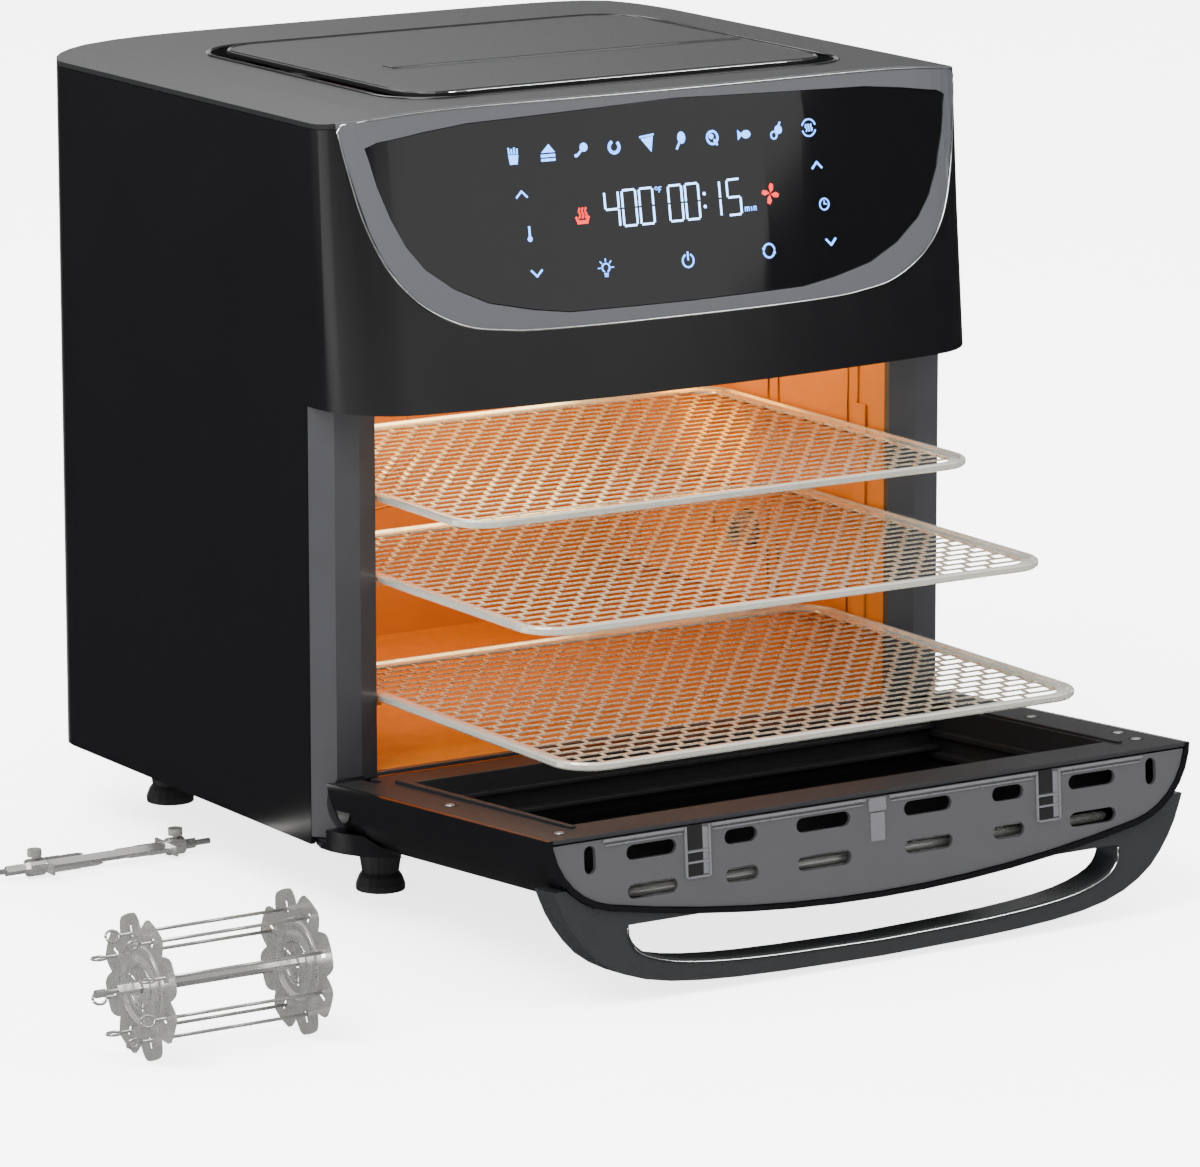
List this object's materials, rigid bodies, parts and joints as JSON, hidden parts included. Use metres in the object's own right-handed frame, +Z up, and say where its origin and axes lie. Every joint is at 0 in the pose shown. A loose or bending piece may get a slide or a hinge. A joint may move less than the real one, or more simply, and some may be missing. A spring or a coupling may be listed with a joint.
{
  "type": "countertop rotisserie oven",
  "caption": "Black countertop oven with a drop-down glass door, sliding racks, a bowed touch panel, and a spit and skewer wheel beside it.",
  "frame": {"origin": "centre of the footprint of the whole set, at table level", "axes": "+Z up, the oven faces -Y, +X to the right of a person facing the oven"},
  "size_m": [0.57, 0.4842, 0.3893],
  "materials": {
    "gloss_black": "glossy",
    "satin_dark": "satin",
    "frame_grey": "satin",
    "strip_grey": "satin",
    "smoked_glass": "glossy",
    "clear_glass": "glossy",
    "stainless": "bright",
    "liner_steel": "satin",
    "rubber_black": "matte",
    "black_metal": "matte",
    "green_board": "satin",
    "ceramic_white": "matte"
  },
  "bodies": {
    "oven": {"base_front_trim": "satin_dark", "base_pan": "black_metal", "body_shell": "gloss_black", "cavity_liner": "liner_steel", "control_bezel": "satin_dark", "control_board": "green_board", "control_glass": "smoked_glass", "cord_gland": "rubber_black", "door_switch": "black_metal", "fan_motor": "stainless", "foot_front_left": "rubber_black", "foot_front_right": "rubber_black", "foot_rear_left": "rubber_black", "foot_rear_right": "rubber_black", "front_frame": "frame_grey", "heater_coil": "stainless", "heater_guard": "stainless", "lamp_housing": "stainless", "lamp_lens": "clear_glass", "motor_bracket": "stainless", "power_board": "green_board", "rear_cover": "black_metal", "rotisserie_motor": "black_metal", "runner_ladder_left": "stainless", "runner_ladder_right": "stainless", "spit_support": "stainless", "thermostat": "ceramic_white", "top_cover": "gloss_black", "top_vent_lid": "gloss_black"},
    "door": {"door_end_strip": "strip_grey", "door_handle": "gloss_black", "door_inner_frame": "satin_dark", "door_inner_glass": "clear_glass", "door_outer_glass": "smoked_glass", "door_outer_shell": "gloss_black", "hinge_pin_left": "stainless", "hinge_pin_right": "stainless"},
    "rack_top": {"rack_top": "stainless"},
    "rack_middle": {"rack_middle": "stainless"},
    "rack_bottom": {"rack_bottom": "stainless"},
    "fan_rotor": {"convection_fan": "stainless", "cooling_fan": "black_metal"},
    "spit_drive": {"drive_socket": "stainless"},
    "spit_set": {"fork_screw_left": "stainless", "fork_screw_right": "stainless", "spit_fork_left": "stainless", "spit_fork_right": "stainless", "spit_rod": "stainless"},
    "skewer_wheel": {"skewer_1": "stainless", "skewer_2": "stainless", "skewer_3": "stainless", "skewer_4": "stainless", "skewer_5": "stainless", "skewer_6": "stainless", "skewer_7": "stainless", "skewer_8": "stainless", "wheel_disc_left": "stainless", "wheel_disc_right": "stainless", "wheel_rod": "stainless"}
  },
  "joints": [
    {"name": "door_hinge", "type": "hinge", "parent": "oven", "child": "door", "pos_m": [0.105, -0.05155, 0.0562], "axis": [-1, 0, 0], "range_deg": [0, 86]},
    {"name": "rack_top_slide", "type": "slide", "parent": "oven", "child": "rack_top", "axis": [0, 1, 0], "range_m": [0, 0.1003]},
    {"name": "rack_middle_slide", "type": "slide", "parent": "oven", "child": "rack_middle", "axis": [0, 1, 0], "range_m": [0, 0.161]},
    {"name": "rack_bottom_slide", "type": "slide", "parent": "oven", "child": "rack_bottom", "axis": [0, 1, 0], "range_m": [0, 0.1914]},
    {"name": "fan_spin", "type": "hinge", "parent": "oven", "child": "fan_rotor", "pos_m": [0.105, 0.09505, 0.3], "axis": [0, 0, 1], "continuous": true},
    {"name": "spit_drive_spin", "type": "hinge", "parent": "oven", "child": "spit_drive", "pos_m": [0.252, 0.09105, 0.131], "axis": [1, 0, 0], "continuous": true},
    {"name": "spit_pull", "type": "slide", "parent": "oven", "child": "spit_set", "axis": [-1, 0, 0], "range_m": [0, 0.1]},
    {"name": "wheel_lift", "type": "slide", "parent": "oven", "child": "skewer_wheel", "axis": [0, 0, 1], "range_m": [0, 0.12]}
  ],
  "couplings": [
    {"joint": "rack_top_slide", "follows": "door_hinge", "m_per_rad": 0.066822},
    {"joint": "rack_middle_slide", "follows": "door_hinge", "m_per_rad": 0.10726},
    {"joint": "rack_bottom_slide", "follows": "door_hinge", "m_per_rad": 0.12752}
  ]
}
